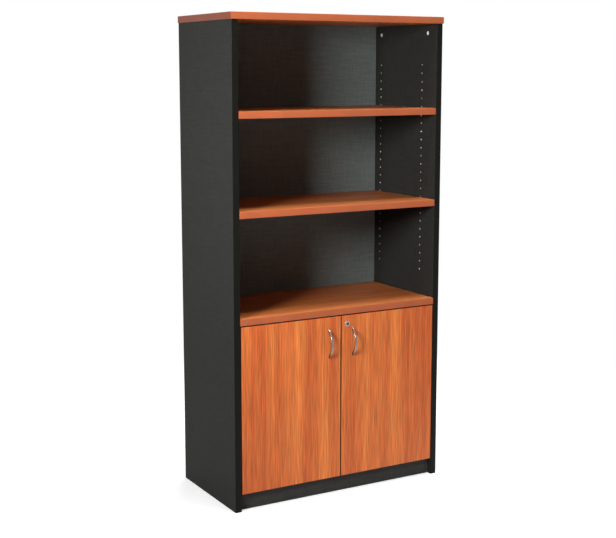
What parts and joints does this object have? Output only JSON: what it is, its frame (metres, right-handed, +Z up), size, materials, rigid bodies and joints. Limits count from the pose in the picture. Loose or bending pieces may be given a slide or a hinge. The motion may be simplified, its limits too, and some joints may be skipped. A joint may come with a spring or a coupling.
{
  "type": "bookcase with cabinet doors",
  "caption": "Tall office bookcase with open, movable shelves in the upper part and a lockable two-door cupboard below, dark carcass with wood-grain top, shelves and doors.",
  "frame": {"origin": "on the floor, in the middle of the overall box, the handles included", "axes": "+Z up, +X to the right seen from the front, the doors face -Y"},
  "size_m": [0.9, 0.475, 1.8],
  "materials": {
    "dark_board": "charcoal melamine on chipboard, fine satin grain",
    "dark_edging": "black ABS edging, satin",
    "wood_decor_board": "cherry wood-grain melamine on chipboard, satin",
    "wood_decor_edging": "plain cherry-coloured ABS edging, satin",
    "satin_chrome": "satin chrome plate",
    "nickel_plated_steel": "bright nickel plate on pressed steel",
    "plated_steel": "zinc-plated steel",
    "zinc_casting": "bright zinc die casting",
    "beech": "fluted beech, uncoated"
  },
  "bodies": {
    "carcass": {"top_panel": "wood_decor_board", "top_edging": "wood_decor_edging", "upper_shelf": "wood_decor_board", "upper_shelf_edging": "wood_decor_edging", "middle_shelf": "wood_decor_board", "middle_shelf_edging": "wood_decor_edging", "cupboard_shelf": "wood_decor_board", "cupboard_shelf_edging": "wood_decor_edging", "fixed_shelf": "wood_decor_board", "fixed_shelf_edging": "wood_decor_edging", "bottom_panel": "dark_board", "bottom_edging": "dark_edging", "kickboard": "dark_board", "back_panel": "dark_board", "left_side_panel": "dark_board", "right_side_panel": "dark_board", "left_side_edging": "dark_edging", "right_side_edging": "dark_edging", "hinge_arms": "nickel_plated_steel", "hinge_plates": "nickel_plated_steel", "hinge_plate_screws": "plated_steel", "shelf_supports": "nickel_plated_steel", "cam_locks": "zinc_casting", "cam_bolts": "plated_steel", "locating_dowels": "beech", "lock_strike": "plated_steel", "lock_strike_screws": "plated_steel"},
    "left_door": {"left_door_panel": "wood_decor_board", "left_door_edging": "wood_decor_edging", "left_handle": "satin_chrome", "left_handle_screws": "plated_steel", "left_hinge_cups": "nickel_plated_steel", "left_cup_screws": "plated_steel"},
    "right_door": {"right_door_panel": "wood_decor_board", "right_door_edging": "wood_decor_edging", "right_handle": "satin_chrome", "right_handle_screws": "plated_steel", "right_hinge_cups": "nickel_plated_steel", "right_cup_screws": "plated_steel", "lock_housing": "satin_chrome", "lock_nut": "plated_steel"},
    "left_links": {"left_hinge_links": "nickel_plated_steel"},
    "right_links": {"right_hinge_links": "nickel_plated_steel"},
    "lock_cylinder": {"lock_plug": "satin_chrome", "lock_tongue": "plated_steel", "lock_tongue_screw": "plated_steel"}
  },
  "joints": [
    {"name": "left_door_hinge", "type": "hinge", "parent": "carcass", "child": "left_door", "pos_m": [-0.41, -0.2058, 0.3775], "axis": [0, 0, -1], "range_deg": [0, 110]},
    {"name": "right_door_hinge", "type": "hinge", "parent": "carcass", "child": "right_door", "pos_m": [0.41, -0.2058, 0.3775], "axis": [0, 0, 1], "range_deg": [0, 110]},
    {"name": "left_link_pivot", "type": "hinge", "parent": "carcass", "child": "left_links", "pos_m": [-0.3865, -0.1953, 0.3775], "axis": [0, 0, 1], "range_deg": [0, 53]},
    {"name": "right_link_pivot", "type": "hinge", "parent": "carcass", "child": "right_links", "pos_m": [0.3865, -0.1953, 0.3775], "axis": [0, 0, -1], "range_deg": [0, 53]},
    {"name": "lock_turn", "type": "hinge", "parent": "right_door", "child": "lock_cylinder", "pos_m": [0.0285, -0.2095, 0.656], "axis": [0, -1, 0], "range_deg": [0, 90]}
  ],
  "couplings": [
    {"joint": "left_link_pivot", "follows": "left_door_hinge", "ratio": 0.48},
    {"joint": "right_link_pivot", "follows": "right_door_hinge", "ratio": 0.48}
  ]
}
